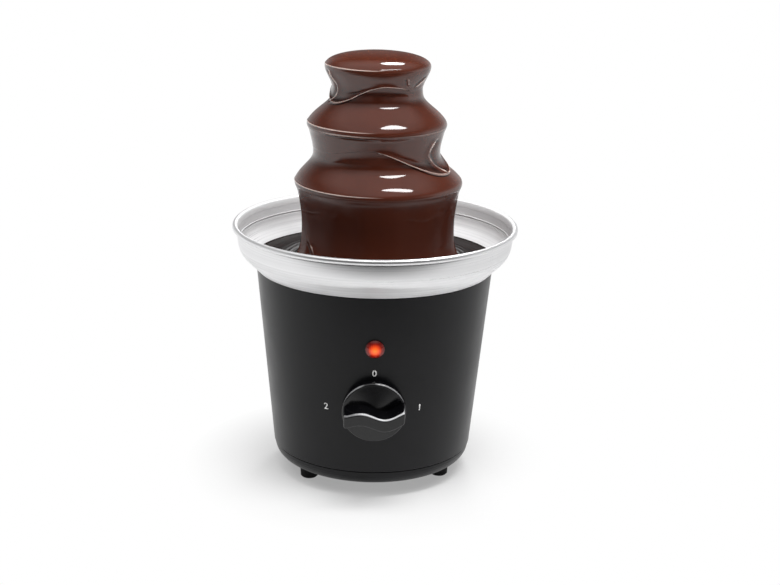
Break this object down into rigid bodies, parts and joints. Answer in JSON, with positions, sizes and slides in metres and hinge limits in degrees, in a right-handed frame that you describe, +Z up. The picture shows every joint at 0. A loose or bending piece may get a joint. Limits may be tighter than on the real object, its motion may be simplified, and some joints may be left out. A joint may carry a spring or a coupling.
{
  "type": "chocolate fountain",
  "caption": "Table-top chocolate fountain: heated metal bowl on a tapered plastic base, tiered tower over a motor-driven auger, chocolate flowing, rotary switch and lamp.",
  "frame": {"origin": "centre of the round base on the table", "axes": "+Z up along the drive shaft, -Y towards the knob at the front, +X to the right seen from the front"},
  "size_m": [0.19, 0.19, 0.2842],
  "materials": {
    "black_shell": "satin",
    "black_rubber": "matte",
    "knob_black": "gloss",
    "bowl_metal": "satin spun",
    "tower_metal": "satin",
    "chocolate": "wet gloss",
    "lamp_red": "clear lit",
    "lamp_glass": "clear",
    "black_nylon": "moulded",
    "pale_nylon": "moulded",
    "silicone": "matte",
    "steel": "satin",
    "cast_zinc": "as cast",
    "brass": "satin",
    "copper": "enamelled wire"
  },
  "bodies": {
    "base": {"housing": "black_shell", "bottom_cover": "black_shell", "rubber_feet": "black_rubber", "cord_gland": "black_rubber", "shaft_seal": "black_rubber", "bowl": "bowl_metal", "chocolate_pool": "chocolate", "lamp_lens": "lamp_red", "lamp_bulb": "lamp_glass", "lamp_clip": "black_nylon", "rotary_switch": "black_nylon", "hub_bushing": "pale_nylon", "hub_nut": "pale_nylon", "gearbox_base": "pale_nylon", "gearbox_cover": "pale_nylon", "coil_bobbin": "pale_nylon", "thermostat": "pale_nylon", "terminal_block": "pale_nylon", "hub_gasket": "silicone", "cover_screws": "steel", "tower_pins": "steel", "spreader_nuts": "steel", "gearbox_screws": "steel", "idler_pin": "steel", "stator_stack": "steel", "motor_screws": "steel", "switch_nut": "steel", "fuse_clip": "steel", "upper_bracket": "cast_zinc", "lower_bracket": "cast_zinc", "heat_spreader": "cast_zinc", "heater_element": "cast_zinc", "thermal_fuse": "brass", "motor_coil": "copper"},
    "knob": {"control_knob": "knob_black", "switch_shaft": "steel"},
    "drive": {"drive_shaft": "steel", "output_gear": "pale_nylon", "auger": "pale_nylon"},
    "idler": {"idler_gear": "pale_nylon"},
    "motor_rotor": {"rotor": "steel", "rotor_shaft": "steel", "motor_pinion": "brass"},
    "tower": {"tower_tube": "tower_metal", "lower_tier": "tower_metal", "middle_tier": "tower_metal", "crown": "tower_metal", "chocolate_flow": "chocolate"}
  },
  "joints": [
    {"name": "knob_turn", "type": "hinge", "parent": "base", "child": "knob", "pos_m": [0, -0.0716, 0.0657], "axis": [0, 0.9954, 0.0959], "range_deg": [0, 180]},
    {"name": "drive_spin", "type": "hinge", "parent": "base", "child": "drive", "pos_m": [0, 0, 0.1], "axis": [0, 0, 1], "continuous": true},
    {"name": "idler_spin", "type": "hinge", "parent": "base", "child": "idler", "pos_m": [0, 0.028, 0.1], "axis": [0, 0, 1], "continuous": true},
    {"name": "rotor_spin", "type": "hinge", "parent": "base", "child": "motor_rotor", "pos_m": [0.01101, 0.01227, 0.1], "axis": [0, 0, 1], "continuous": true},
    {"name": "tower_lift", "type": "slide", "parent": "base", "child": "tower", "axis": [0, 0, 1], "range_m": [0, 0.15]}
  ],
  "couplings": [
    {"joint": "idler_spin", "follows": "rotor_spin", "ratio": -0.28},
    {"joint": "drive_spin", "follows": "rotor_spin", "ratio": 0.07}
  ]
}
